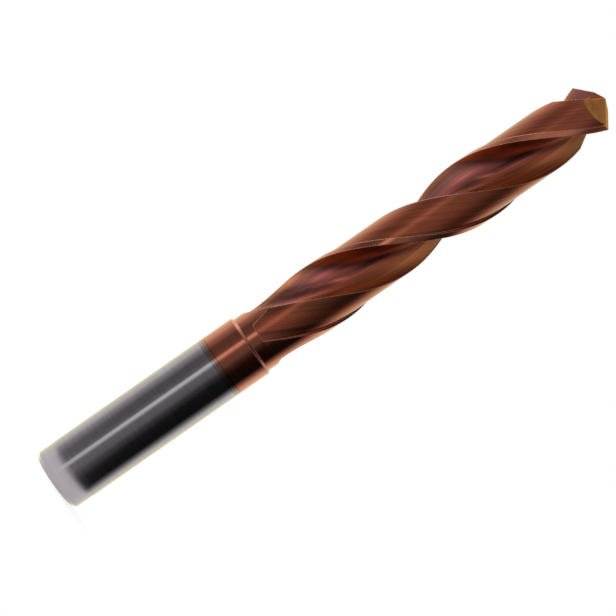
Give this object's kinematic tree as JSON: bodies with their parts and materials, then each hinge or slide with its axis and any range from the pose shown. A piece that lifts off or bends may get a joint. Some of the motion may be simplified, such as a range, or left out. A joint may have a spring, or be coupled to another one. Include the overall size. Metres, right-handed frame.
{
  "type": "solid carbide drill bit",
  "caption": "Solid carbide twist drill with a plain round shank, right-hand helical flutes, narrow margins and a split point, in a copper-brown coating.",
  "frame": {"origin": "centre of the flat end of the shank, which the tool stands on", "axes": "+Z along the tool's axis towards the point, +X along the outer part of one cutting lip, seen from the point"},
  "size_m": [0.01, 0.01, 0.1],
  "materials": {
    "drill_bit": "ground cemented carbide with a thin copper-brown coating from the point to the front of the shank, and bare grey carbide behind it"
  },
  "bodies": {
    "root": {"drill_bit": "drill_bit"}
  },
  "joints": []
}
